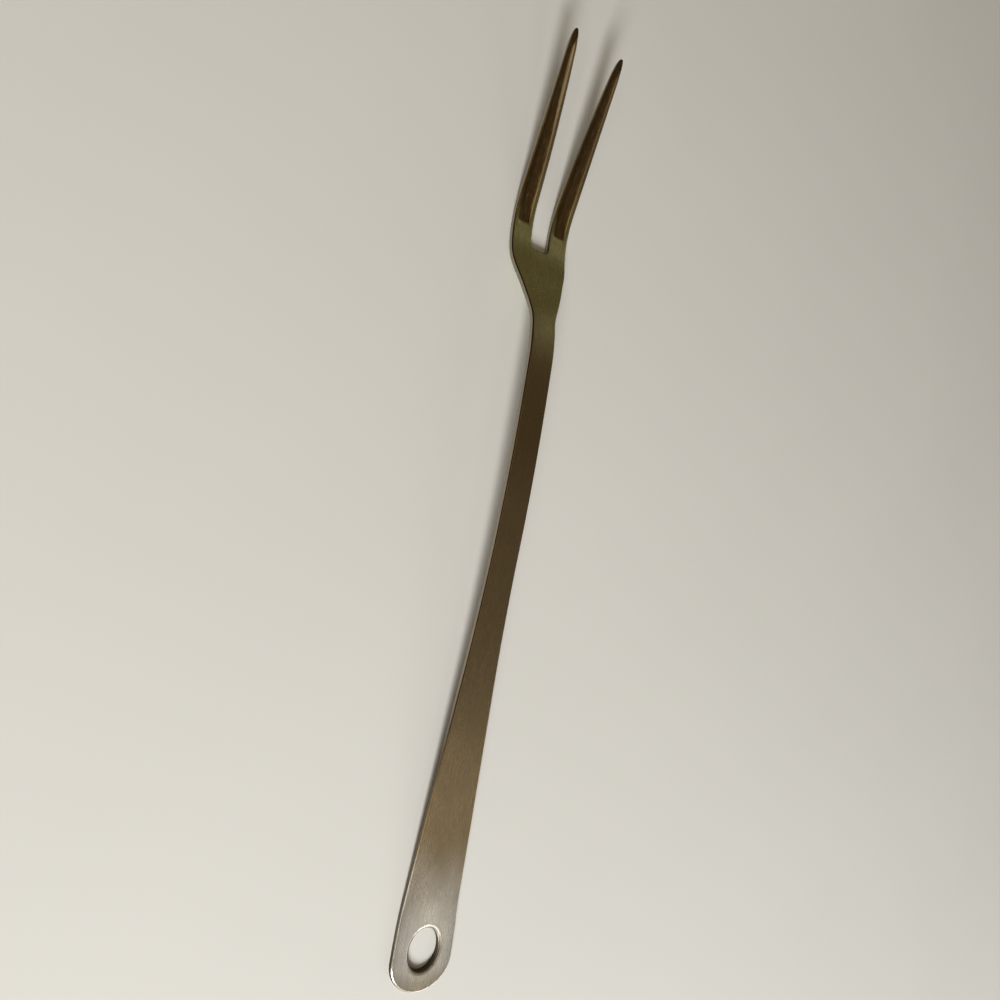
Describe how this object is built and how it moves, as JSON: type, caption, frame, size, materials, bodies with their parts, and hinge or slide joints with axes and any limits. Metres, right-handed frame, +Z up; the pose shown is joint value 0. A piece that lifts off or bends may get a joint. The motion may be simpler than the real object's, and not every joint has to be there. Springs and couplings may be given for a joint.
{
  "type": "carving fork",
  "caption": "Two-tined carving fork stamped from one steel strip: paddle handle with an oval hanging hole, arched shank, spread shoulder and upswept tines.",
  "frame": {"origin": "middle of the fork's length and width, on the table that it lies on", "axes": "+X along the fork towards the points, +Y to the fork's left, +Z up"},
  "size_m": [0.3302, 0.0254, 0.0177],
  "materials": {
    "stainless_steel": "satin, brushed lengthwise"
  },
  "bodies": {
    "root": {"hanging_eye": "stainless_steel", "handle": "stainless_steel", "shank": "stainless_steel", "shoulder": "stainless_steel", "left_tine": "stainless_steel", "right_tine": "stainless_steel"}
  },
  "joints": []
}
